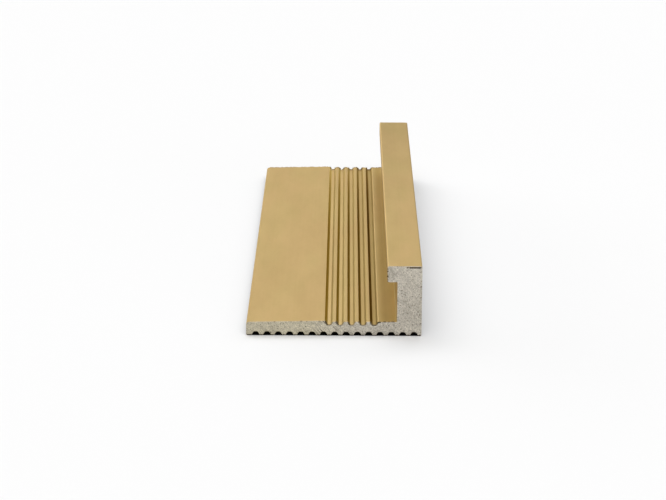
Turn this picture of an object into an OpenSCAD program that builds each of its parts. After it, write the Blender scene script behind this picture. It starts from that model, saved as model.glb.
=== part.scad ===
// Tile edge trim: a sawn length of one solid aluminium extrusion, gold anodised.
// Its ribbed leg is bedded under the tile, and an upright with a lipped head closes the tile's edge.
// X runs across the section from the leg's free edge to the outer face, Y along the length, Z up.
// The origin is at the middle of the footprint, on the plane of the rib tips.

/* [Overall] */
// Sawn length of the piece
length = 100; // [20:1:3000]
// Width across the section, from the leg's free edge to the outer face
width = 30; // [24:0.5:60]
// Height from the rib tips to the top of the head
height = 12.5; // [8:0.5:25]

/* [Upright and head] */
// Thickness of the upright below the head
upright_t = 4.2; // [2:0.1:6]
// Reach of the head's lip over the undercut
lip_reach = 1.7; // [1:0.1:4]
// Thickness of the head above the undercut
head_t = 2.85; // [1.2:0.05:3.2]

/* [Leg] */
// Thickness of the leg beside the upright and at the ridges between the grooves
leg_t = 2.5; // [2.2:0.05:3.2]
// Thickness of the tile pad beside the first groove
pad_t = 2.65; // [2.2:0.05:3.2]
// Thickness of the tile pad at the leg's free edge
free_edge_t = 2.4; // [1.8:0.05:3.2]
// Width of the flat strip between the last groove and the upright
strip_w = 3.25; // [1.5:0.05:6]

/* [Keying ribs under the leg] */
// Distance from one rib to the next
rib_pitch = 1.935; // [1.7:0.005:3]
// Depth of the gaps between the ribs
rib_gap_d = 0.65; // [0.3:0.05:0.9]
// Width of a gap at the rib tips
rib_gap_mouth = 1.4; // [1.2:0.05:1.5]
// Width of a gap at its root
rib_gap_root = 0.64; // [0.44:0.02:0.8]
// Distance from the outer face to the middle of the first gap
rib_start = 1.27; // [1.2:0.01:3]

/* [Grooves on top of the leg] */
// Number of grooves beside the strip
groove_count = 5; // [1:1:8]
// Distance from one groove to the next
groove_pitch = 1.93; // [1.7:0.01:2.6]
// Depth of a groove below the ridges
groove_d = 0.6; // [0.3:0.05:0.8]
// Width of a groove between the ridges
groove_mouth = 1.34; // [1.1:0.02:1.6]
// Width of a groove's floor
groove_floor = 0.68; // [0.4:0.02:0.8]

/* [Corner radii] */
// Radius on the outer corners of the section
corner_r = 0.25; // [0.1:0.05:0.4]
// Radius in the two inner corners of the undercut
undercut_r = 0.15; // [0.1:0.05:0.6]
// Radius on the rib tips and on the groove edges
tip_r = 0.12; // [0.05:0.01:0.18]
// Radius at the root of the gaps and grooves
root_r = 0.28; // [0.1:0.02:0.3]

/* [Hidden] */
gold = [0.79, 0.68, 0.47];
arc_step = 15; // degrees that one chord of a rounded corner turns through

// Places across the section and up it, from the leg's free edge and the rib tips
inner_x = width - upright_t;
nose_x = inner_x - lip_reach;
lip_z = height - head_t;
last_groove_x = inner_x - strip_w - groove_mouth / 2;
rib_gap_count = floor((width - 2 * rib_start) / rib_pitch) + 1;

// The outline is a list of sharp corners, each with its radius: [x, z, radius]
function place(corner) = [corner[0], corner[1]];
function unit(v) = v / norm(v);
function backwards(list) = [for (i = [len(list) - 1 : -1 : 0]) list[i]];

// A channel about x with sloping walls, whose two edges may lie at different heights
function channel(x, mouth, root, root_z, left_z, right_z) = [
    [x - mouth / 2, left_z, tip_r],
    [x - root / 2, root_z, root_r],
    [x + root / 2, root_z, root_r],
    [x + mouth / 2, right_z, tip_r]
];

function rib_gap(i) = channel(width - rib_start - i * rib_pitch, rib_gap_mouth, rib_gap_root, rib_gap_d, 0, 0);

// Groove 0 is the one beside the strip, and the last one cuts into the tile pad
function groove(i) = channel(
    last_groove_x - i * groove_pitch,
    groove_mouth,
    groove_floor,
    leg_t - groove_d,
    i == groove_count - 1 ? pad_t : leg_t,
    leg_t
);

// The ribbed underside, from the free edge to the outer face
function underside() = [
    [0, 0, corner_r],
    for (i = [rib_gap_count - 1 : -1 : 0]) each rib_gap(i),
    [width, 0, corner_r]
];

// The head, its lip and the undercut, down to the foot of the upright
function head_and_lip() = [
    [width, height, corner_r],
    [nose_x, height, corner_r],
    [nose_x, lip_z, corner_r],
    [inner_x, lip_z, undercut_r],
    [inner_x, leg_t, undercut_r]
];

// The leg's grooves and its tile pad, back to the free edge
function grooves_and_pad() = [
    for (i = [0 : groove_count - 1]) each backwards(groove(i)),
    [0, free_edge_t, corner_r]
];

// The points of the arc that rounds one corner between its two neighbours
function rounded_corner(before, corner, after) =
    let (
        to_before = unit(place(before) - place(corner)),
        to_after = unit(place(after) - place(corner)),
        inward = unit(to_before + to_after),
        half_angle = acos(to_before * to_after) / 2,
        turn = sign(cross(to_after, to_before)) * (180 - 2 * half_angle),
        centre = place(corner) + inward * corner[2] / sin(half_angle),
        start = atan2(-inward[1], -inward[0]) - turn / 2,
        chords = ceil(abs(turn) / arc_step)
    )
    [for (k = [0 : chords])
        let (angle = start + turn * k / chords)
        centre + corner[2] * [cos(angle), sin(angle)]];

function rounded_outline(corners) =
    let (n = len(corners))
    [for (i = [0 : n - 1]) each rounded_corner(corners[(i + n - 1) % n], corners[i], corners[(i + 1) % n])];

module section() {
    translate([-width / 2, 0])
        polygon(rounded_outline(concat(underside(), head_and_lip(), grooves_and_pad())));
}

module edge_trim() {
    color(gold)
        rotate([90, 0, 0])
            linear_extrude(height = length, center = true)
                section();
}

edge_trim();
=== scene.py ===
import bpy
import math
import re
from mathutils import Matrix, Vector


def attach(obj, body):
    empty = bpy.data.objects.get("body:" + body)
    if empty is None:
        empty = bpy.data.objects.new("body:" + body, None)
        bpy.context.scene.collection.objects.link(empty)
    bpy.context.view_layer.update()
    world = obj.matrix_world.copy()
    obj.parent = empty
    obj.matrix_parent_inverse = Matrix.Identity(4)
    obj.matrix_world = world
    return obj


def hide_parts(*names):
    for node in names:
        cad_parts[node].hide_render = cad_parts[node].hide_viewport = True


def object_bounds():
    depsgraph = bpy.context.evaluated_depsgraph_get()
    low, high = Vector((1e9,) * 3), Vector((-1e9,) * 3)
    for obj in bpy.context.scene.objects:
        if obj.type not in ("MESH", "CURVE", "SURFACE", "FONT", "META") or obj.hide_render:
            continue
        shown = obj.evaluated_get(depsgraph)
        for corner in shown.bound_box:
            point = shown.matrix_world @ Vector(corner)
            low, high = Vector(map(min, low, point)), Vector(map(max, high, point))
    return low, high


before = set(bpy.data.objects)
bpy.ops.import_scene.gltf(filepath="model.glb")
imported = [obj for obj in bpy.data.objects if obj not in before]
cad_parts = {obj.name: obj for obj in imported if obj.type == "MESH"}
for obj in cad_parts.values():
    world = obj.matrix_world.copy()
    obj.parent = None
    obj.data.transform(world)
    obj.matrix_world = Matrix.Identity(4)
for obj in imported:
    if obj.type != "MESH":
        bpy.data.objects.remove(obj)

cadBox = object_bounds()
mm = 0.001
trimSize = cadBox[1] - cadBox[0]
print("frame loaded, the trim measures", [round(side / mm, 2) for side in trimSize], "mm")


# node helpers, for the shapes and for the finishes

nodesInRow = 14  # nodes are laid out in rows, to be read in the editor
nodeSpacing = (190, 280)
number = "NodeSocketFloat"
wholeNumber = "NodeSocketInt"
shape = "NodeSocketGeometry"
arrow = "NodeSocketVector"
mostNoise = (0.3, 0.7)  # a noise stays between these nearly everywhere


def newNode(tree, kind, inputs=(), **settings):
    node = tree.nodes.new(kind)
    row, column = divmod(len(tree.nodes), nodesInRow)
    node.location = (column * nodeSpacing[0], -row * nodeSpacing[1])
    for name, value in settings.items():
        setattr(node, name, value)
    for key, value in dict(inputs).items():
        plug(tree, value, node.inputs[key])
    return node


def plug(tree, value, socket):  # a socket is linked, anything else is typed in
    if isinstance(value, bpy.types.NodeSocket):
        tree.links.new(value, socket)
    else:
        socket.default_value = value


def calc(tree, operation, *values):
    return newNode(tree, "ShaderNodeMath", enumerate(values), operation=operation).outputs[0]


def vector(tree, x=0.0, y=0.0, z=0.0):
    return newNode(tree, "ShaderNodeCombineXYZ", {0: x, 1: y, 2: z}).outputs[0]


def axes(tree, value):
    return newNode(tree, "ShaderNodeSeparateXYZ", {0: value}).outputs


def vectorCalc(tree, operation, first, second):
    return newNode(tree, "ShaderNodeVectorMath", {0: first, 1: second}, operation=operation).outputs[0]


def scaled(tree, value, factor):
    return newNode(tree, "ShaderNodeVectorMath", {0: value, "Scale": factor}, operation="SCALE").outputs[0]


def stretch(tree, value, x, y, z):  # coordinates squeezed or stretched along each axis
    return vectorCalc(tree, "MULTIPLY", value, (x, y, z))


def noise(tree, place, scale, detail=2.0, roughness=0.5, seed=None):
    node = newNode(
        tree, "ShaderNodeTexNoise",
        {"Vector": place, "Scale": scale, "Detail": detail, "Roughness": roughness},
    )
    if seed is not None:
        node.noise_dimensions = "4D"
        plug(tree, seed, node.inputs["W"])
    return node.outputs["Fac"]


def remap(tree, value, fromLow, fromHigh, toLow=0.0, toHigh=1.0, smooth=False):
    node = newNode(
        tree, "ShaderNodeMapRange",
        {0: value, 1: fromLow, 2: fromHigh, 3: toLow, 4: toHigh},
        interpolation_type="SMOOTHSTEP" if smooth else "LINEAR",
    )
    return node.outputs[0]


def fade(tree, value, limits):  # 0 at the first limit and 1 at the second, both in millimetres
    return remap(tree, value, limits[0] * mm, limits[1] * mm)


def within(tree, value, limits, unit=mm):  # 1 between the two limits, 0 outside them
    middle, half = (limits[0] + limits[1]) / 2, (limits[1] - limits[0]) / 2
    return calc(tree, "COMPARE", value, middle * unit, half * unit)


def mixValue(tree, factor, first, second):
    return newNode(tree, "ShaderNodeMix", {0: factor, 2: first, 3: second}, data_type="FLOAT").outputs[0]


def mixColour(tree, factor, first, second, blend="MIX"):
    node = newNode(tree, "ShaderNodeMix", data_type="RGBA", blend_type=blend)
    plug(tree, factor, node.inputs[0])
    plug(tree, first, node.inputs[6])
    plug(tree, second, node.inputs[7])
    return node.outputs[2]


def pick(tree, index, values, kind="FLOAT"):  # the value whose turn the index says
    node = newNode(tree, "GeometryNodeIndexSwitch", data_type=kind)
    while len(node.index_switch_items) < len(values):
        node.index_switch_items.new()
    plug(tree, index, node.inputs[0])
    for socket, value in zip(node.inputs[1:], values):
        plug(tree, value, socket)
    return node.outputs[0]


def openTree(name, kind, inputs, outputs):
    tree = bpy.data.node_groups.new(name, kind)
    for label, socketKind in inputs:
        tree.interface.new_socket(label, in_out="INPUT", socket_type=socketKind)
    for label, socketKind in outputs:
        tree.interface.new_socket(label, in_out="OUTPUT", socket_type=socketKind)
    given = newNode(tree, "NodeGroupInput").outputs
    result = newNode(tree, "NodeGroupOutput").inputs
    return tree, given, result


def useGroup(tree, group, inputs):
    host = "GeometryNodeGroup" if group.bl_idname == "GeometryNodeTree" else "ShaderNodeGroup"
    return newNode(tree, host, inputs, node_tree=group).outputs


# the camera, at the photograph's angle

view = {
    "place": Vector((1.904, -397.293, 124.798)) * mm,
    "lens": 116.48,  # millimetres, as the sensor's width
    "sensorWidth": 36,
    "nearest": 0.01,  # metres; nothing closer is seen
    "pitchDown": 17.49,  # degrees, as the next two
    "yaw": 0.3425,
    "roll": 0.181,
}
camera = bpy.data.objects.new("camera", bpy.data.cameras.new("camera"))
camera.data.lens = view["lens"]
camera.data.sensor_width = view["sensorWidth"]
camera.data.clip_start = view["nearest"]
camera.matrix_world = (
    Matrix.Translation(view["place"])
    @ Matrix.Rotation(math.radians(view["yaw"]), 4, "Z")
    @ Matrix.Rotation(math.radians(90 - view["pitchDown"]), 4, "X")
    @ Matrix.Rotation(math.radians(view["roll"]), 4, "Z")
)
bpy.context.collection.objects.link(camera)
bpy.context.scene.camera = camera
print("camera placed")


# effects that the finishes share

effects = {
    "coarseGrain": 0.31,  # scale of the coarse grain, as a share of the fine one's
    "grainLimits": (0.25, 0.75),  # the values between which the grain has its height
    "raggedScale": 2600.0,
    "raggedDrawnOut": 0.05,
    "raggedReach": (0.35, 1.5),  # shares of the band's width
    "bandFade": (1.0, 0.4),  # shares of its ragged reach
}


def makeMetalGrain():  # fine grain in two sizes, as a value about 0.5 and as a height
    tree, given, result = openTree(
        "metalGrain", "ShaderNodeTree",
        [("Place", arrow), ("Scale", number), ("Coarse Share", number)],
        [("Grain", number), ("Height", number)],
    )
    fine = noise(tree, given["Place"], given["Scale"], detail=3.0, roughness=0.65)
    coarse = noise(tree, given["Place"], calc(tree, "MULTIPLY", given["Scale"], effects["coarseGrain"]))
    grain = mixValue(tree, given["Coarse Share"], fine, coarse)
    plug(tree, grain, result["Grain"])
    plug(tree, remap(tree, grain, *effects["grainLimits"]), result["Height"])
    return tree


def makeSawnBand():  # a ragged band beside the two sawn ends: 1 at the cut, 0 away from it
    tree, given, result = openTree(
        "sawnBand", "ShaderNodeTree",
        [("Place", arrow), ("Half Length", number), ("Width", number), ("Raggedness", number)],
        [("Band", number)],
    )
    fromMiddle = calc(tree, "ABSOLUTE", axes(tree, given["Place"])[1])
    fromCut = calc(tree, "SUBTRACT", given["Half Length"], fromMiddle)
    drawn = stretch(tree, given["Place"], 1, effects["raggedDrawnOut"], 1)
    ragged = noise(tree, drawn, effects["raggedScale"], detail=3.0, roughness=0.6)
    reach = calc(tree, "MULTIPLY", given["Width"], remap(tree, ragged, *mostNoise, *effects["raggedReach"]))
    softened = mixValue(tree, given["Raggedness"], given["Width"], reach)
    band = remap(tree, calc(tree, "DIVIDE", fromCut, softened), *effects["bandFade"])
    plug(tree, band, result["Band"])
    return tree


metalGrain = makeMetalGrain()
sawnBand = makeSawnBand()


def openMaterial(name, principled):
    material = bpy.data.materials.new(name)
    material.use_nodes = True
    tree = material.node_tree
    shader = tree.nodes["Principled BSDF"]
    for label, value in principled.items():
        shader.inputs[label].default_value = value
    place = newNode(tree, "ShaderNodeTexCoord").outputs["Object"]
    return material, tree, shader, place


def addGrain(tree, place, finish):
    return useGroup(tree, metalGrain, {
        "Place": place, "Scale": finish["grainScale"], "Coarse Share": finish["coarseShare"],
    })


def addTone(tree, finish, grain, clouds):  # from the dark colour to the light one, by grain and by clouds
    tone = mixValue(
        tree, finish["cloudShare"],
        remap(tree, grain, *finish["contrast"]), remap(tree, clouds, *finish["contrast"]),
    )
    return mixColour(tree, tone, finish["dark"], finish["light"])


def addBump(tree, shader, finish, height):
    bump = newNode(tree, "ShaderNodeBump", {
        "Strength": finish["bumpStrength"], "Distance": finish["bumpDepth"] * mm, "Height": height,
    })
    plug(tree, bump.outputs[0], shader.inputs["Normal"])


# satin gold anodising
gold = {
    "dark": (0.500, 0.362, 0.174, 1),
    "light": (0.585, 0.428, 0.214, 1),
    "green": (0.975, 1.005, 0.975, 1),  # the dye is a little greener here and there
    "towardsFloor": (0.30, 0.31, 0.33, 1),  # the floor gets no gold light from the bar, only a grey one
    "edgeTone": (0.68, 0.59, 0.425, 1),  # dyed oxide doesn't whiten at a low angle as bare metal does
    "cutLine": (0.760, 0.620, 0.440, 1),  # the pinkish line beside a cut
    "cutLineWidth": 0.30,
    "cutLineRaggedness": 0.8,
    "cutLineStrength": 0.6,
    "cloudScale": 260.0,
    "cloudShare": 0.6,
    "contrast": mostNoise,
    "greenScale": 170.0,
    "greenLimits": (0.4, 0.6),
    "grainScale": 5200.0,
    "coarseShare": 0.35,
    "drawnOut": 0.3,  # what the dye leaves is longer along the bar
    "dieLineScale": 2300.0,
    "dieLineDrawnOut": 0.004,
    "roughness": 0.44,  # the least, to which die lines and grain add
    "roughnessOfDieLines": 0.08,
    "roughnessOfGrain": 0.04,
    "bumpStrength": 0.25,
    "bumpDepth": 0.004,
}

# painted light and shade: what the gold is multiplied by to make it darker where shade falls and lighter
# where light falls
# places are in millimetres, across from the free edge and up from the rib tips; of two colours the first
# is for the groove farthest from the upright and the second for the one beside the strip
paintedLightAndShade = {
    "grooves": (13.1, 22.6),
    "slowStart": 2.0,  # above 1, the floors change late across the grooves and the right walls late along
    # painted light on the floors of the grooves far from the upright, painted shade on those beside it
    "floors": [(1.12, 1.13, 1.13, 1), (0.78, 0.76, 0.66, 1)],
    "floorsFade": (2.30, 2.05),
    "rightWalls": [(0.68, 0.66, 0.24, 1), (0.145, 0.090, 0.0, 1)],  # they look towards the upright; painted shade
    "rightWallsAtBack": [(1.60, 1.78, 1.45, 1), (0.44, 0.32, 0.12, 1)],  # at the bar's back end: less painted shade, and painted light on the first grooves
    "rightLean": (0.10, 0.55),  # how far a wall leans to the right where its tint begins and is full
    # painted light on the walls that look left, away from the upright
    "leftWalls": [(1.32, 1.46, 1.46, 1), (1.06, 1.04, 0.86, 1)],
    "leftLean": (-0.25, -0.75),
    "strip": [(0.85, 0.81, 0.68, 1), (1.20, 1.22, 1.07, 1)],  # painted shade beside the grooves and painted light beside the upright
    "stripChange": (23.9, 25.6),  # from the first to the second
    "stripFade": (22.5, 23.5),
    "stripUp": (2.395, 2.505),
    "spots": [  # fade goes with the height, and along with the length: 0 in its middle, 0.5 at the back
        # painted light on the upright's inner face
        {"name": "upright's inner face", "tint": (1.27, 1.30, 1.22, 1),
         "across": (25.75, 25.85), "up": (2.7, 9.7)},
        # painted shade in the round at the upright's foot
        {"name": "round at the upright's foot", "tint": (0.70, 0.70, 0.70, 1),
         "across": (25.65, 25.81), "up": (2.505, 2.675)},
        # painted shade on the head's top, towards the back
        {"name": "head's top, towards the back", "tint": (0.87, 0.88, 0.89, 1),
         "across": (24.0, 30.1), "up": (12.4, 12.6), "along": (-0.35, 0.5)},
        # painted highlights along the lip's top edge and the strip's left edge
        {"name": "lip's top edge, painted highlight", "tint": (1.23, 1.25, 1.30, 1),
         "across": (23.9, 24.3), "fade": (12.22, 12.34)},
        {"name": "strip's left edge, painted highlight", "tint": (1.23, 1.25, 1.30, 1),
         "across": (22.50, 22.64), "fade": (2.36, 2.42)},
        # painted shade in the gaps between the ribs
        {"name": "rib gaps", "tint": (0.08, 0.07, 0.06, 1),
         "across": (0.2, 29.8), "fade": (0.75, 0.65)},
    ],
}


# painted light and shade in the grooves
def paintGrooveLightAndShade(tree, across, along, up):
    inGrooves = within(tree, across, paintedLightAndShade["grooves"])
    turn = fade(tree, across, paintedLightAndShade["grooves"])
    onFloor = calc(tree, "MULTIPLY", inGrooves, fade(tree, up, paintedLightAndShade["floorsFade"]))
    floors = mixColour(tree, calc(tree, "POWER", turn, paintedLightAndShade["slowStart"]), *paintedLightAndShade["floors"])
    tint = mixColour(tree, onFloor, (1, 1, 1, 1), floors)
    outward = newNode(tree, "ShaderNodeAttribute", attribute_name="outward").outputs["Vector"]
    lean = calc(tree, "MULTIPLY", axes(tree, outward)[0], inGrooves)
    towardsBack = calc(tree, "POWER", remap(tree, along, 0.0, trimSize.y / 2), paintedLightAndShade["slowStart"])
    rightWalls = mixColour(tree, turn, *paintedLightAndShade["rightWalls"])
    rightWallsAtBack = mixColour(tree, turn, *paintedLightAndShade["rightWallsAtBack"])
    rightWalls = mixColour(tree, towardsBack, rightWalls, rightWallsAtBack)
    tint = mixColour(tree, remap(tree, lean, *paintedLightAndShade["rightLean"]), tint, rightWalls)
    leftWalls = mixColour(tree, turn, *paintedLightAndShade["leftWalls"])
    return mixColour(tree, remap(tree, lean, *paintedLightAndShade["leftLean"]), tint, leftWalls)


# painted light and shade on the gold, by place
def paintLightAndShadeByPlace(tree, place):
    fromMiddle, along, up = axes(tree, place)
    across = calc(tree, "ADD", fromMiddle, trimSize.x / 2)
    tint = paintGrooveLightAndShade(tree, across, along, up)
    onStrip = calc(tree, "MULTIPLY", fade(tree, across, paintedLightAndShade["stripFade"]), within(tree, up, paintedLightAndShade["stripUp"]))
    strip = mixColour(tree, fade(tree, across, paintedLightAndShade["stripChange"]), *paintedLightAndShade["strip"])
    tint = mixColour(tree, onStrip, tint, strip)
    for spot in paintedLightAndShade["spots"]:
        mask = within(tree, across, spot["across"])
        if "up" in spot:
            mask = calc(tree, "MULTIPLY", mask, within(tree, up, spot["up"]))
        if "fade" in spot:
            mask = calc(tree, "MULTIPLY", mask, fade(tree, up, spot["fade"]))
        if "along" in spot:
            begins, full = [share * trimSize.y for share in spot["along"]]
            mask = calc(tree, "MULTIPLY", mask, remap(tree, along, begins, full))
        mask.node.label = spot["name"]
        tint = mixColour(tree, mask, tint, spot["tint"])
    return tint


def makeGold():
    material, tree, shader, place = openMaterial(
        "satinGold", {"Metallic": 1.0, "Specular Tint": gold["edgeTone"]},
    )
    drawn = stretch(tree, place, 1, gold["drawnOut"], 1)
    clouds = noise(tree, drawn, gold["cloudScale"], detail=3.0, roughness=0.6)
    dieStretched = stretch(tree, place, 1, gold["dieLineDrawnOut"], 1)
    dieLines = noise(tree, dieStretched, gold["dieLineScale"], detail=3.0, roughness=0.6)
    grain = addGrain(tree, place, gold)
    colour = addTone(tree, gold, grain["Grain"], clouds)
    greener = remap(tree, noise(tree, drawn, gold["greenScale"]), *gold["greenLimits"])
    colour = mixColour(tree, greener, colour, gold["green"], "MULTIPLY")
    # painted light and shade, multiplied in by place
    colour = mixColour(tree, 1.0, colour, paintLightAndShadeByPlace(tree, place), "MULTIPLY")
    band = useGroup(tree, sawnBand, {
        "Place": place, "Half Length": trimSize.y / 2, "Width": gold["cutLineWidth"] * mm,
        "Raggedness": gold["cutLineRaggedness"],
    })
    onCutLine = calc(tree, "MULTIPLY", band["Band"], gold["cutLineStrength"])
    colour = mixColour(tree, onCutLine, colour, gold["cutLine"])
    fromFloor = newNode(tree, "ShaderNodeLightPath").outputs["Is Diffuse Ray"]
    plug(tree, mixColour(tree, fromFloor, colour, gold["towardsFloor"]), shader.inputs["Base Color"])
    lined = calc(tree, "MULTIPLY_ADD", dieLines, gold["roughnessOfDieLines"], gold["roughness"])
    roughness = calc(tree, "MULTIPLY_ADD", grain["Grain"], gold["roughnessOfGrain"], lined)
    plug(tree, roughness, shader.inputs["Roughness"])
    addBump(tree, shader, gold, mixValue(tree, 0.5, grain["Height"], dieLines))
    return material


# bare aluminium of the sawn ends
bare = {
    "dark": (0.315, 0.283, 0.227, 1),
    "light": (0.865, 0.815, 0.717, 1),
    "pit": (0.100, 0.082, 0.060, 1),
    "warm": (1.000, 0.985, 0.880, 1),  # the leg's left half is a little yellower
    "warmFade": (0.65, 0.35),  # shares of the width
    "grainScale": 4600.0,
    "coarseShare": 0.2,
    "cloudScale": 210.0,
    "cloudShare": 0.25,
    "contrast": (0.35, 0.65),
    "scratchAngle": 47.0,  # degrees down towards the outer face
    "scratchScale": 5200.0,
    "scratchDrawnOut": 0.06,
    "scratchLimits": (0.54, 0.62),
    "scratchDepth": (0.9, 0.14),  # where the saw scratched deepest, and elsewhere
    "deepest": (11.8, 16.5),  # millimetres from the free edge
    "deepestFade": (0.4, 1.2),  # shares of half that stretch, from its middle
    "pitScale": 3000.0,
    "pitLimits": (0.64, 0.72),
    "pitDepth": 0.75,
    "markDepth": 1.2,
    "roughness": (0.5, 0.68),
    "bumpStrength": 0.6,
    "bumpDepth": 0.04,
}


def makeBare():
    material, tree, shader, place = openMaterial("bareSawnMetal", {"Metallic": 1.0})
    grain = addGrain(tree, place, bare)["Grain"]
    clouds = noise(tree, place, bare["cloudScale"], detail=3.0, roughness=0.6)
    colour = addTone(tree, bare, grain, clouds)
    fromFreeEdge = calc(tree, "ADD", axes(tree, place)[0], trimSize.x / 2)
    leftHalf = remap(tree, fromFreeEdge, *[share * trimSize.x for share in bare["warmFade"]])
    colour = mixColour(tree, leftHalf, colour, bare["warm"], "MULTIPLY")
    # saw scratches, all over but faint and in one stretch of the leg deeper
    turned = newNode(
        tree, "ShaderNodeMapping",
        {"Vector": place, "Rotation": (0, math.radians(-bare["scratchAngle"]), 0)},
    ).outputs[0]
    drawn = stretch(tree, turned, bare["scratchDrawnOut"], 1, 1)
    scratch = remap(tree, noise(tree, drawn, bare["scratchScale"]), *bare["scratchLimits"])
    begins, ends = [limit * mm for limit in bare["deepest"]]
    offMiddle = calc(tree, "ABSOLUTE", calc(tree, "SUBTRACT", fromFreeEdge, (begins + ends) / 2))
    fadeLimits = [share * (ends - begins) / 2 for share in bare["deepestFade"]]
    deep = remap(tree, offMiddle, *fadeLimits, *bare["scratchDepth"], smooth=True)
    scratched = calc(tree, "MULTIPLY", scratch, deep)
    pits = remap(tree, noise(tree, place, bare["pitScale"], detail=1.0, roughness=0.4), *bare["pitLimits"])
    marks = calc(tree, "MAXIMUM", scratched, calc(tree, "MULTIPLY", pits, bare["pitDepth"]))
    plug(tree, mixColour(tree, marks, colour, bare["pit"]), shader.inputs["Base Color"])
    plug(tree, remap(tree, grain, *mostNoise, *bare["roughness"]), shader.inputs["Roughness"])
    height = calc(
        tree, "SUBTRACT", remap(tree, grain, *effects["grainLimits"]),
        calc(tree, "MULTIPLY", marks, bare["markDepth"]),
    )
    addBump(tree, shader, bare, height)
    return material


# the torn metal left on the sawn edges; in the rib gaps, along the rib tips and below the head's top edge
# its dark stain is painted shade
torn = {
    "dark": (0.050, 0.036, 0.016, 1),
    "light": (0.600, 0.480, 0.290, 1),
    "grainScale": 7000.0,
    "coarseShare": 0.3,
    "contrast": (0.35, 0.65),
    "stainReach": (1.1, 0.8),  # what the stain is multiplied by, from the grain's dark to its light
    "roughness": (0.45, 0.7),
    "bumpStrength": 0.5,
    "bumpDepth": 0.02,
}


def makeTorn():
    material, tree, shader, place = openMaterial("tornBurrAndShade", {"Metallic": 0.8})
    grain = addGrain(tree, place, torn)
    stainAndShade = newNode(tree, "ShaderNodeAttribute", attribute_name="stainAndShade").outputs["Fac"]
    uneven = remap(tree, grain["Grain"], *torn["contrast"], *torn["stainReach"])
    clean = calc(tree, "SUBTRACT", 1.0, calc(tree, "MULTIPLY", stainAndShade, uneven))
    plug(tree, mixColour(tree, clean, torn["dark"], torn["light"]), shader.inputs["Base Color"])
    plug(tree, remap(tree, grain["Grain"], *mostNoise, *torn["roughness"]), shader.inputs["Roughness"])
    addBump(tree, shader, torn, grain["Height"])
    return material


satinGold = makeGold()
bareSawnMetal = makeBare()
tornBurrAndShade = makeTorn()
print("finishes made")


# the bar: an outline from named sizes, swept along the length

bar = {  # lengths in millimetres, and whole numbers as they are; the overall sizes come from the frame
    "width": trimSize.x / mm,
    "height": trimSize.z / mm,
    "length": trimSize.y / mm - 0.06,  # a hair short at each end, where the torn metal stands
    "uprightThickness": 4.2,
    "lipReach": 1.7,
    "headThickness": 2.85,
    "legThickness": 2.5,
    "padThickness": 2.65,
    "freeEdgeThickness": 2.4,
    "stripWidth": 3.25,
    "ribGaps": 15,
    "ribPitch": 1.935,
    "ribGapDepth": 0.65,
    "ribGapMouth": 1.4,
    "ribGapRoot": 0.64,
    "ribStart": 1.27,
    "grooves": 5,
    "groovePitch": 1.93,
    "grooveDepth": 0.6,
    "grooveMouth": 1.34,
    "grooveFloor": 0.68,
    "cornerRadius": 0.25,
    "freeEdgeRadius": 0.55,  # the leg's top corner at its free edge
    "undercutRadius": 0.15,
    "tipRadius": 0.12,
    "rootRadius": 0.28,
    "cornerSteps": 6,
    "outlineStep": 0.3,  # the outline's flats are cut into stretches no longer than twice this
    "stations": 14,
    "crowding": 4,  # how much closer together the stations are at the ends
    "edgeBreak": 0.09,  # how far a sawn edge is broken at most
    "edgeBreakScale": 1500,
    "seed": 4,
}
sawing = {  # what the bar's making needs besides lengths and counts
    "leastBreak": 0.25,  # how little a sawn edge is broken, as a share of the most
    "smoothBelow": 28,  # degrees; an edge that turns more stays sharp
    "bareFrom": 0.25,  # a face that looks along the bar by more than this is bare metal
}


def spaced(name):  # ribPitch becomes Rib Pitch
    return re.sub("([A-Z])", r" \1", name).title()


def field(tree, name):
    return newNode(tree, "GeometryNodeInput" + name).outputs[0]


def keep(tree, geometry, name, value, kind="FLOAT"):
    node = newNode(
        tree, "GeometryNodeStoreNamedAttribute",
        {"Geometry": geometry, "Name": name, "Value": value}, data_type=kind, domain="POINT",
    )
    return node.outputs[0]


def recall(tree, name, kind="FLOAT"):
    return newNode(tree, "GeometryNodeInputNamedAttribute", {"Name": name}, data_type=kind).outputs[0]


def join(tree, parts):
    node = newNode(tree, "GeometryNodeJoinGeometry")
    for part in reversed(parts):  # the last one linked comes first
        tree.links.new(part, node.inputs[0])
    return node.outputs[0]


def closeRing(tree, points):  # points in their order, as one closed outline
    line = newNode(tree, "GeometryNodePointsToCurves", {0: points}).outputs[0]
    return newNode(tree, "GeometryNodeSetSplineCyclic", {"Geometry": line, "Cyclic": True}).outputs[0]


def setMaterial(tree, geometry, material, where=True):
    return newNode(tree, "GeometryNodeSetMaterial", {
        "Geometry": geometry, "Selection": where, "Material": material,
    }).outputs[0]


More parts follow.
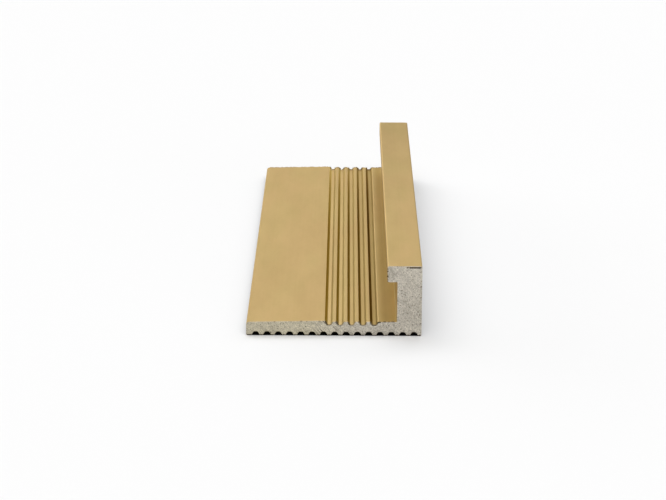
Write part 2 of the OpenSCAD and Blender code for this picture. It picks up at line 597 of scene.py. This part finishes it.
def makeChannelRow():  # the sharp corners of a row of sloping channels, four to each
    tree, given, result = openTree(
        "channelRow", "GeometryNodeTree",
        [("Channels", wholeNumber), ("First X", number), ("Step", number), ("Mouth", number),
         ("Root", number), ("Edge Z", number), ("Far Edge Z", number), ("Root Z", number),
         ("Tip Radius", number), ("Root Radius", number)],
        [("Corners", shape)],
    )
    index = field(tree, "Index")
    corner = calc(tree, "MODULO", index, 4)
    channel = calc(tree, "FLOOR", calc(tree, "DIVIDE", index, 4))
    atRoot = calc(tree, "COMPARE", corner, 1.5, 0.6)  # the second and third of the four corners
    side = calc(
        tree, "MULTIPLY",
        calc(tree, "SIGN", calc(tree, "SUBTRACT", corner, 1.5)), calc(tree, "SIGN", given["Step"]),
    )
    halfWidth = calc(tree, "MULTIPLY", pick(tree, atRoot, [given["Mouth"], given["Root"]]), 0.5)
    middle = calc(tree, "MULTIPLY_ADD", channel, given["Step"], given["First X"])
    x = calc(tree, "MULTIPLY_ADD", side, halfWidth, middle)
    count = calc(tree, "MULTIPLY", given["Channels"], 4)
    isLast = calc(tree, "COMPARE", index, calc(tree, "SUBTRACT", count, 1), 0.5)
    edge = pick(tree, isLast, [given["Edge Z"], given["Far Edge Z"]])
    z = pick(tree, atRoot, [edge, given["Root Z"]])
    radius = pick(tree, atRoot, [given["Tip Radius"], given["Root Radius"]])
    points = newNode(tree, "GeometryNodePoints", {"Count": count, "Position": vector(tree, x, z)})
    plug(tree, keep(tree, points.outputs[0], "roundBy", radius), result["Corners"])
    return tree


channelRow = makeChannelRow()


def loneCorners(tree, corners):  # corners that follow no row, each with its own radius
    index = field(tree, "Index")
    places = [vector(tree, x, z) for x, z, radius in corners]
    points = newNode(tree, "GeometryNodePoints", {
        "Count": len(corners), "Position": pick(tree, index, places, "VECTOR"),
    })
    radii = pick(tree, index, [radius for x, z, radius in corners])
    return keep(tree, points.outputs[0], "roundBy", radii)


def drawOutline(tree, size):  # the closed section, with x across and z as Y
    upright = calc(tree, "SUBTRACT", size["Width"], size["Upright Thickness"])
    nose = calc(tree, "SUBTRACT", upright, size["Lip Reach"])
    lip = calc(tree, "SUBTRACT", size["Height"], size["Head Thickness"])
    edgeRound = size["Corner Radius"]
    underRound = size["Undercut Radius"]
    channelRounds = {"Tip Radius": size["Tip Radius"], "Root Radius": size["Root Radius"]}
    freeEdge = loneCorners(tree, [
        (0.0, size["Free Edge Thickness"], size["Free Edge Radius"]), (0.0, 0.0, edgeRound),
    ])
    gapSpan = calc(tree, "MULTIPLY", calc(tree, "SUBTRACT", size["Rib Gaps"], 1), size["Rib Pitch"])
    lastGap = calc(tree, "SUBTRACT", size["Width"], size["Rib Start"])
    ribGaps = useGroup(tree, channelRow, {
        "Channels": size["Rib Gaps"], "First X": calc(tree, "SUBTRACT", lastGap, gapSpan),
        "Step": size["Rib Pitch"], "Mouth": size["Rib Gap Mouth"], "Root": size["Rib Gap Root"],
        "Edge Z": 0.0, "Far Edge Z": 0.0, "Root Z": size["Rib Gap Depth"], **channelRounds,
    })
    headAndLip = loneCorners(tree, [
        (size["Width"], 0.0, edgeRound), (size["Width"], size["Height"], edgeRound),
        (nose, size["Height"], edgeRound), (nose, lip, edgeRound),
        (upright, lip, underRound), (upright, size["Leg Thickness"], underRound),
    ])
    stripEnd = calc(tree, "SUBTRACT", upright, size["Strip Width"])
    grooves = useGroup(tree, channelRow, {
        "Channels": size["Grooves"],
        "First X": calc(tree, "MULTIPLY_ADD", size["Groove Mouth"], -0.5, stripEnd),
        "Step": calc(tree, "MULTIPLY", size["Groove Pitch"], -1),
        "Mouth": size["Groove Mouth"], "Root": size["Groove Floor"],
        "Edge Z": size["Leg Thickness"], "Far Edge Z": size["Pad Thickness"],
        "Root Z": calc(tree, "SUBTRACT", size["Leg Thickness"], size["Groove Depth"]), **channelRounds,
    })
    centred = newNode(tree, "GeometryNodeSetPosition", {
        "Geometry": join(tree, [freeEdge, ribGaps["Corners"], headAndLip, grooves["Corners"]]),
        "Offset": vector(tree, calc(tree, "MULTIPLY", size["Width"], -0.5)),
    })
    rounded = newNode(tree, "GeometryNodeFilletCurve", {
        "Curve": closeRing(tree, centred.outputs[0]), "Count": size["Corner Steps"],
        "Radius": recall(tree, "roundBy"),
    }, mode="POLY")
    # long flats are cut up, so that a broken edge can wander along them
    here = field(tree, "Position")
    nextIndex = newNode(tree, "GeometryNodeOffsetPointInCurve", {"Offset": 1}).outputs[1]
    there = newNode(
        tree, "GeometryNodeFieldAtIndex", {"Index": nextIndex, "Value": here},
        data_type="FLOAT_VECTOR", domain="POINT",
    ).outputs[0]
    flat = newNode(tree, "ShaderNodeVectorMath", {0: here, 1: there}, operation="DISTANCE").outputs["Value"]
    cuts = calc(tree, "FLOOR", calc(tree, "DIVIDE", flat, size["Outline Step"]))
    fine = newNode(tree, "GeometryNodeSubdivideCurve", {"Curve": rounded.outputs[0], "Cuts": cuts})
    along = axes(tree, field(tree, "Tangent"))
    outward = vector(tree, along[1], 0.0, calc(tree, "MULTIPLY", along[0], -1))
    return keep(tree, fine.outputs[0], "outward", outward, "FLOAT_VECTOR")


def sweepBar(tree, size, outline):
    halfLength = calc(tree, "MULTIPLY", size["Length"], 0.5)
    line = newNode(tree, "GeometryNodeCurvePrimitiveLine", {"Start": (0, 1, 0), "End": (0, -1, 0)})
    stations = newNode(tree, "GeometryNodeResampleCurve", {
        "Curve": line.outputs[0], "Count": size["Stations"],
    }, mode="COUNT")
    turn = axes(tree, field(tree, "Position"))[1]
    fromEnd = calc(tree, "SUBTRACT", 1, calc(tree, "ABSOLUTE", turn))
    share = calc(tree, "SUBTRACT", 1, calc(tree, "POWER", fromEnd, size["Crowding"]))
    y = calc(tree, "MULTIPLY", calc(tree, "MULTIPLY", calc(tree, "SIGN", turn), share), halfLength)
    path = newNode(tree, "GeometryNodeSetPosition", {
        "Geometry": stations.outputs[0], "Position": vector(tree, 0.0, y),
    })
    profile = newNode(tree, "GeometryNodeTransform", {"Geometry": outline, "Rotation": (0, 0, math.pi)})
    swept = newNode(tree, "GeometryNodeCurveToMesh", {
        "Curve": path.outputs[0], "Profile Curve": profile.outputs[0], "Fill Caps": True,
    })
    # each sawn edge is broken a little, more here and less there
    place = field(tree, "Position")
    fromMiddle = calc(tree, "ABSOLUTE", axes(tree, place)[1])
    atCut = calc(tree, "GREATER_THAN", fromMiddle, calc(tree, "SUBTRACT", halfLength, 0.01 * mm))
    wander = noise(tree, place, size["Edge Break Scale"], seed=size["Seed"])
    inward = remap(tree, wander, *mostNoise, -sawing["leastBreak"], -1.0)
    depth = calc(tree, "MULTIPLY", size["Edge Break"], inward)
    broken = newNode(tree, "GeometryNodeSetPosition", {
        "Geometry": swept.outputs[0], "Selection": atCut,
        "Offset": scaled(tree, recall(tree, "outward", "FLOAT_VECTOR"), depth),
    })
    isSoft = calc(tree, "LESS_THAN", field(tree, "MeshEdgeAngle"), math.radians(sawing["smoothBelow"]))
    return newNode(tree, "GeometryNodeSetShadeSmooth", {
        "Geometry": broken.outputs[0], "Shade Smooth": isSoft,
    }, domain="EDGE").outputs[0]


# the torn metal round the two sawn ends, in spots along the section's outline; lengths in millimetres
# across is measured from the free edge and up from the rib tips; facing limits a spot to surfaces that
# look left (-1) or right (1); above is how far it stands off the surface, onFace how far it spreads over
# the sawn face, share how much of the spot it fills, stain how dark it is: torn metal, and painted shade
# where noted
burr = {
    "step": 0.1,
    "thickness": 0.05,
    "proud": 0.025,  # how far it stands past the cut
    "sunk": 0.03,  # where no metal is torn, the ribbon lies this far inside the bar
    "raggedScale": 2600.0,
    "tornAbove": (0.66, 0.34),  # metal is torn where the noise is above this, for a share of 0 and of 1
    "tornRamp": (-0.04, 0.12),
    "anySide": (-1.1, 1.1),  # of a spot that doesn't give its own facing
    "front": [
        {"name": "ridges", "across": (13.2, 22.7), "up": (2.42, 2.60),
         "above": 0.04, "onFace": 0.05, "share": 0.5, "stainAndShade": 0.5},
        {"name": "groove floors", "across": (13.2, 22.7), "up": (1.80, 2.42),
         "above": 0.11, "onFace": 0.06, "share": 0.95, "stainAndShade": 0.6},
        {"name": "walls facing right", "across": (13.0, 22.7), "up": (1.85, 2.62), "facing": (0.3, 1.1),
         "above": 0.20, "onFace": 0.08, "share": 0.95, "stainAndShade": 0.9},
        {"name": "last groove's floor", "across": (21.3, 22.4), "up": (1.80, 2.30),
         "above": 0.11, "onFace": 0.10, "share": 1.0, "stainAndShade": 0.85},
        {"name": "walls facing left", "across": (18.6, 22.9), "up": (1.95, 2.52), "facing": (-1.1, -0.3),
         "above": 0.03, "onFace": 0.16, "share": 0.8, "stainAndShade": 0.7},
        {"name": "strip", "across": (22.6, 25.6), "up": (2.40, 2.60),
         "above": 0.10, "onFace": 0.05, "share": 0.8, "stainAndShade": 0.9},
        {"name": "strip's left corner", "across": (22.4, 23.1), "up": (2.25, 2.60),
         "above": 0.05, "onFace": 0.16, "share": 1.1, "stainAndShade": 1.0},
        {"name": "pad beside the grooves", "across": (9.2, 13.1), "up": (2.45, 2.70),
         "above": 0.08, "onFace": 0.05, "share": 0.4, "stainAndShade": 0.9},
        {"name": "pad", "across": (0.6, 9.2), "up": (2.35, 2.70),
         "above": 0.03, "onFace": 0.03, "share": 0.3, "stainAndShade": 0.4},
        # torn metal below the head's top edge, stained dark as painted shadow beneath it
        {"name": "head, outer end", "across": (27.4, 29.9), "up": (12.30, 12.51),
         "above": -0.11, "onFace": 0.38, "share": 1.0, "stainAndShade": 1.0},
        {"name": "head, middle", "across": (25.8, 27.4), "up": (12.30, 12.51),
         "above": -0.06, "onFace": 0.18, "share": 0.5, "stainAndShade": 0.6},
        {"name": "lip", "across": (24.0, 24.4), "up": (9.60, 12.3),
         "above": 0.08, "onFace": 0.16, "share": 0.6, "stainAndShade": 1.0},
        # painted shade: dark torn metal in the gaps between the ribs, where hardly any light comes
        {"name": "rib gaps", "across": (0.3, 29.7), "up": (0.04, 0.72),
         "above": 0.0, "onFace": 0.06, "share": 1.6, "stainAndShade": 1.0},
        # painted shade: dark torn metal along the rib tips, where the bar meets the floor
        {"name": "rib tips", "across": (0.1, 24.0), "up": (-0.01, 0.04),
         "above": -0.02, "onFace": 0.19, "share": 1.3, "stainAndShade": 1.0},
        {"name": "outer rib tips", "across": (24.0, 29.9), "up": (-0.01, 0.04),
         "above": -0.02, "onFace": 0.24, "share": 1.5, "stainAndShade": 1.0},
    ],
    "back": [
        {"name": "ridges", "across": (13.2, 22.7), "up": (2.42, 2.60),
         "above": 0.10, "onFace": 0.05, "share": 0.8, "stainAndShade": 0.25},
        {"name": "groove floors and walls", "across": (13.2, 22.7), "up": (1.80, 2.42),
         "above": 0.24, "onFace": 0.06, "share": 0.95, "stainAndShade": 0.15},
        {"name": "strip", "across": (22.6, 25.6), "up": (2.40, 2.60),
         "above": 0.08, "onFace": 0.05, "share": 0.8, "stainAndShade": 0.3},
        {"name": "pad", "across": (0.6, 13.1), "up": (2.35, 2.70),
         "above": 0.06, "onFace": 0.03, "share": 0.7, "stainAndShade": 0.3},
    ],
}


def burrSection(tree):  # four corners near each other, spread out later by their two marks
    # reach is 1 at the outer corners, ahead is 1 at those past the cut
    corners = [(0.0, 1.0), (1.0, 1.0), (1.0, 0.0), (0.0, 0.0)]
    index = field(tree, "Index")
    tiny = 0.01 * mm
    places = [vector(tree, (reach - 0.5) * tiny, (ahead - 0.5) * tiny) for reach, ahead in corners]
    marked = newNode(tree, "GeometryNodePoints", {
        "Count": len(corners), "Position": pick(tree, index, places, "VECTOR"),
    }).outputs[0]
    for label, values in zip(("reach", "ahead"), zip(*corners)):
        marked = keep(tree, marked, label, pick(tree, index, values))
    return closeRing(tree, marked)


def mixSpots(tree, spots, flat, looks, fromEdge, seed):  # the ribbon's measures, all along the outline
    up = axes(tree, flat)[1]
    sunk = burr["sunk"] * mm
    above, onFace, proud, stainAndShade = -sunk, 1.5 * sunk, -sunk, 0.0  # out of sight until a spot brings it out
    untorn, allTorn = burr["tornAbove"]
    for turn, spot in enumerate(spots):
        inside = calc(
            tree, "MULTIPLY", within(tree, fromEdge, spot["across"]), within(tree, up, spot["up"]),
        )
        facing = within(tree, looks, spot.get("facing", burr["anySide"]), 1.0)
        inside = calc(tree, "MULTIPLY", inside, facing)
        wander = noise(tree, flat, burr["raggedScale"], seed=calc(tree, "ADD", seed, turn))
        threshold = untorn + (allTorn - untorn) * spot["share"]
        ramp = [threshold + step for step in burr["tornRamp"]]
        amount = calc(tree, "MULTIPLY", inside, remap(tree, wander, *ramp))
        amount.node.label = spot["name"]
        above = mixValue(tree, amount, above, spot["above"] * mm)
        onFace = mixValue(tree, amount, onFace, spot["onFace"] * mm)
        proud = mixValue(tree, amount, proud, burr["proud"] * mm)
        stainAndShade = mixValue(tree, amount, stainAndShade, spot["stainAndShade"])
    return {"above": above, "onFace": onFace, "proud": proud, "stainAndShade": stainAndShade}


def makeBurrTree(name, spots):  # a thin ribbon of torn metal that follows the outline at one cut
    tree, given, result = openTree(
        name, "GeometryNodeTree",
        [("Outline", shape), ("Width", number), ("Cut Y", number), ("Seed", wholeNumber)],
        [("Burr", shape)],
    )
    fine = newNode(tree, "GeometryNodeResampleCurve", {
        "Curve": given["Outline"], "Length": burr["step"] * mm,
    }, mode="LENGTH").outputs[0]
    flat = field(tree, "Position")
    x, z = axes(tree, flat)[:2]
    looks = axes(tree, recall(tree, "outward", "FLOAT_VECTOR"))[0]
    fromEdge = calc(tree, "MULTIPLY_ADD", given["Width"], 0.5, x)
    marks = mixSpots(tree, spots, flat, looks, fromEdge, given["Seed"])
    marked = keep(tree, fine, "centre", vector(tree, x, 0.0, z), "FLOAT_VECTOR")
    for label, value in marks.items():
        marked = keep(tree, marked, label, value)
    ribbon = newNode(tree, "GeometryNodeCurveToMesh", {"Curve": marked, "Profile Curve": burrSection(tree)})
    # every vertex goes to its place: off the surface along outward, and past the cut along Y
    reach, ahead = recall(tree, "reach"), recall(tree, "ahead")
    inner = calc(tree, "MULTIPLY", recall(tree, "onFace"), -1)
    radial = mixValue(tree, reach, inner, recall(tree, "above"))
    depth = mixValue(tree, ahead, -burr["thickness"] * mm, recall(tree, "proud"))
    tapered = calc(tree, "MULTIPLY", depth, calc(tree, "MULTIPLY_ADD", reach, -0.5, 1.0))
    y = calc(tree, "MULTIPLY_ADD", calc(tree, "SIGN", given["Cut Y"]), tapered, given["Cut Y"])
    off = scaled(tree, recall(tree, "outward", "FLOAT_VECTOR"), radial)
    spread = vectorCalc(tree, "ADD", recall(tree, "centre", "FLOAT_VECTOR"), off)
    placed = newNode(tree, "GeometryNodeSetPosition", {
        "Geometry": ribbon.outputs[0], "Position": vectorCalc(tree, "ADD", spread, vector(tree, 0.0, y)),
    })
    turned = newNode(tree, "GeometryNodeFlipFaces", {
        "Mesh": placed.outputs[0], "Selection": calc(tree, "GREATER_THAN", given["Cut Y"], 0.0),
    })
    plug(tree, keep(tree, turned.outputs[0], "torn", 1.0), result["Burr"])
    return tree


def makeBarTree():
    kinds = {int: wholeNumber, float: number}
    sizes = [(spaced(name), kinds[type(value)]) for name, value in bar.items()]
    tree, size, result = openTree("sawnExtrusion", "GeometryNodeTree", sizes, [("Geometry", shape)])
    tree.is_modifier = True
    outline = drawOutline(tree, size)
    bits = [sweepBar(tree, size, outline)]
    for side, cut in (("front", -0.5), ("back", 0.5)):
        ribbon = useGroup(tree, makeBurrTree(side + "Burr", burr[side]), {
            "Outline": outline, "Width": size["Width"],
            "Cut Y": calc(tree, "MULTIPLY", size["Length"], cut), "Seed": size["Seed"],
        })
        bits.insert(0, ribbon["Burr"])
    whole = newNode(tree, "GeometryNodeRealizeInstances", {0: join(tree, bits)}).outputs[0]
    facing = axes(tree, field(tree, "Normal"))[1]
    isCut = calc(tree, "GREATER_THAN", calc(tree, "ABSOLUTE", facing), sawing["bareFrom"])
    whole = setMaterial(tree, whole, satinGold)
    whole = setMaterial(tree, whole, bareSawnMetal, isCut)
    whole = setMaterial(tree, whole, tornBurrAndShade, recall(tree, "torn"))
    plug(tree, whole, result["Geometry"])
    return tree


def runTree(name, tree, sizes):  # runs the tree and keeps what it makes as a plain mesh
    maker = bpy.data.objects.new(name + "Maker", bpy.data.meshes.new(name + "Maker"))
    bpy.context.collection.objects.link(maker)
    modifier = maker.modifiers.new("maker", "NODES")
    modifier.node_group = tree
    inputs = [item for item in tree.interface.items_tree if item.in_out == "INPUT"]
    identifiers = {item.name: item.identifier for item in inputs}
    for label, value in sizes.items():
        modifier[identifiers[spaced(label)]] = value if isinstance(value, int) else value * mm
    graph = bpy.context.evaluated_depsgraph_get()
    mesh = bpy.data.meshes.new_from_object(maker.evaluated_get(graph), depsgraph=graph)
    maker.modifiers.remove(modifier)
    bpy.data.objects.remove(maker)
    mesh.name = name
    piece = bpy.data.objects.new(name, mesh)
    bpy.context.collection.objects.link(piece)
    return piece


trimBar = runTree("trimBar", makeBarTree(), bar)
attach(trimBar, "root")
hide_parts("edge_trim")
print("bar made,", len(trimBar.data.polygons), "faces")


# the floor and the light

studio = {
    "floorSize": 6.0,
    "floorTone": 0.875,
    "paintedShadeUnderTrim": 0.015,  # painted shade on the floor under the trim, seen in the gaps between the ribs, where hardly any light comes
    "underInset": (0.1, 0.05),  # millimetres inside the trim's sides and ends
    "lightLevel": 1.01,
    # soft lights round the room, in degrees: azimuth from straight behind the trim towards its right,
    # rise is where a light starts above the floor, where it is fullest and where it ends
    "rises": {"high": (27, 52, 88), "middle": (7, 27, 52), "low": (-1, 7, 27)},
    "halfWidth": 45,  # of a light that doesn't give its own
    "lights": [
        # as wide as this, the ceiling's light hardly fades on its way round
        {"name": "ceiling", "azimuth": 0, "halfWidth": 100000, "rise": (52, 88, 200), "level": 1.2},
        {"name": "behind, low", "azimuth": 0, "halfWidth": 35, "rise": (-6, 4, 14), "level": 3.5},
        {"name": "behind, high", "azimuth": 0, "rise": "high", "level": 4.2},
        {"name": "behind on the left, high", "azimuth": 315, "rise": "high", "level": 3.0},
        {"name": "behind on the left, low", "azimuth": 315, "rise": "low", "level": 3.5},
        {"name": "behind on the right", "azimuth": 45, "rise": "middle", "level": 1.65},
        {"name": "front on the right, high", "azimuth": 135, "rise": "high", "level": 2.6},
        {"name": "front on the right, low", "azimuth": 135, "rise": "low", "level": 1.45},
        {"name": "front, high", "azimuth": 180, "rise": "high", "level": 3.5},
        {"name": "front, low", "azimuth": 180, "rise": "low", "level": 1.1},
        {"name": "front on the left, high", "azimuth": 225, "rise": "high", "level": 1.0},
    ],
}


def grey(tone):
    return (tone, tone, tone, 1)


def makeFloor():
    half = studio["floorSize"] / 2
    corners = [(-half, -half, 0), (half, -half, 0), (half, half, 0), (-half, half, 0)]
    mesh = bpy.data.meshes.new("floor")
    mesh.from_pydata(corners, [], [(0, 1, 2, 3)])
    floor = bpy.data.objects.new("floor", mesh)
    material, tree, shader, place = openMaterial("paleFloor", {"Roughness": 0.9, "Specular IOR Level": 0.0})
    x, y = axes(tree, place)[:2]
    halfX = trimSize.x / 2 - studio["underInset"][0] * mm
    halfY = trimSize.y / 2 - studio["underInset"][1] * mm
    # painted shade on the floor under the trim's footprint
    under = calc(
        tree, "MULTIPLY", calc(tree, "COMPARE", x, 0.0, halfX), calc(tree, "COMPARE", y, 0.0, halfY),
    )
    tone = mixColour(tree, under, grey(studio["floorTone"]), grey(studio["paintedShadeUnderTrim"]))
    plug(tree, tone, shader.inputs["Base Color"])
    mesh.materials.append(material)
    bpy.context.collection.objects.link(floor)
    return floor


floor = makeFloor()


def softLight(tree, azimuth, elevation, light):  # fullest at its middle and fading evenly to its edges
    rise = studio["rises"].get(light["rise"], light["rise"])
    start, middle, end = [math.radians(angle) for angle in rise]
    halfWidth = math.radians(light.get("halfWidth", studio["halfWidth"]))
    turned = calc(tree, "SUBTRACT", azimuth, math.radians(light["azimuth"]))
    turned = calc(tree, "WRAP", turned, math.pi, -math.pi)
    sideways = remap(tree, calc(tree, "ABSOLUTE", turned), 0.0, halfWidth, 1.0, 0.0)
    upwards = calc(
        tree, "MINIMUM",
        remap(tree, elevation, start, middle), remap(tree, elevation, middle, end, 1.0, 0.0),
    )
    level = light["level"] * studio["lightLevel"]
    glow = calc(tree, "MULTIPLY", calc(tree, "MULTIPLY", sideways, upwards), level)
    glow.node.label = light["name"]
    return glow


def makeRoom():
    world = bpy.data.worlds.new("studio")
    world.use_nodes = True
    tree = world.node_tree
    direction = axes(tree, newNode(tree, "ShaderNodeTexCoord").outputs["Generated"])
    azimuth = calc(tree, "ARCTAN2", direction[0], direction[1])
    elevation = calc(tree, "ARCSINE", direction[2])
    total = 0.0
    for light in studio["lights"]:
        total = calc(tree, "ADD", total, softLight(tree, azimuth, elevation, light))
    # the camera sees a plain pale room
    seen = newNode(tree, "ShaderNodeLightPath").outputs["Is Camera Ray"]
    plug(tree, mixValue(tree, seen, total, 1.0), tree.nodes["Background"].inputs["Strength"])
    tree.nodes["Background"].inputs["Color"].default_value = grey(1)
    return world


bpy.context.scene.world = makeRoom()
bpy.context.scene.view_settings.view_transform = "Standard"
print("studio lit")
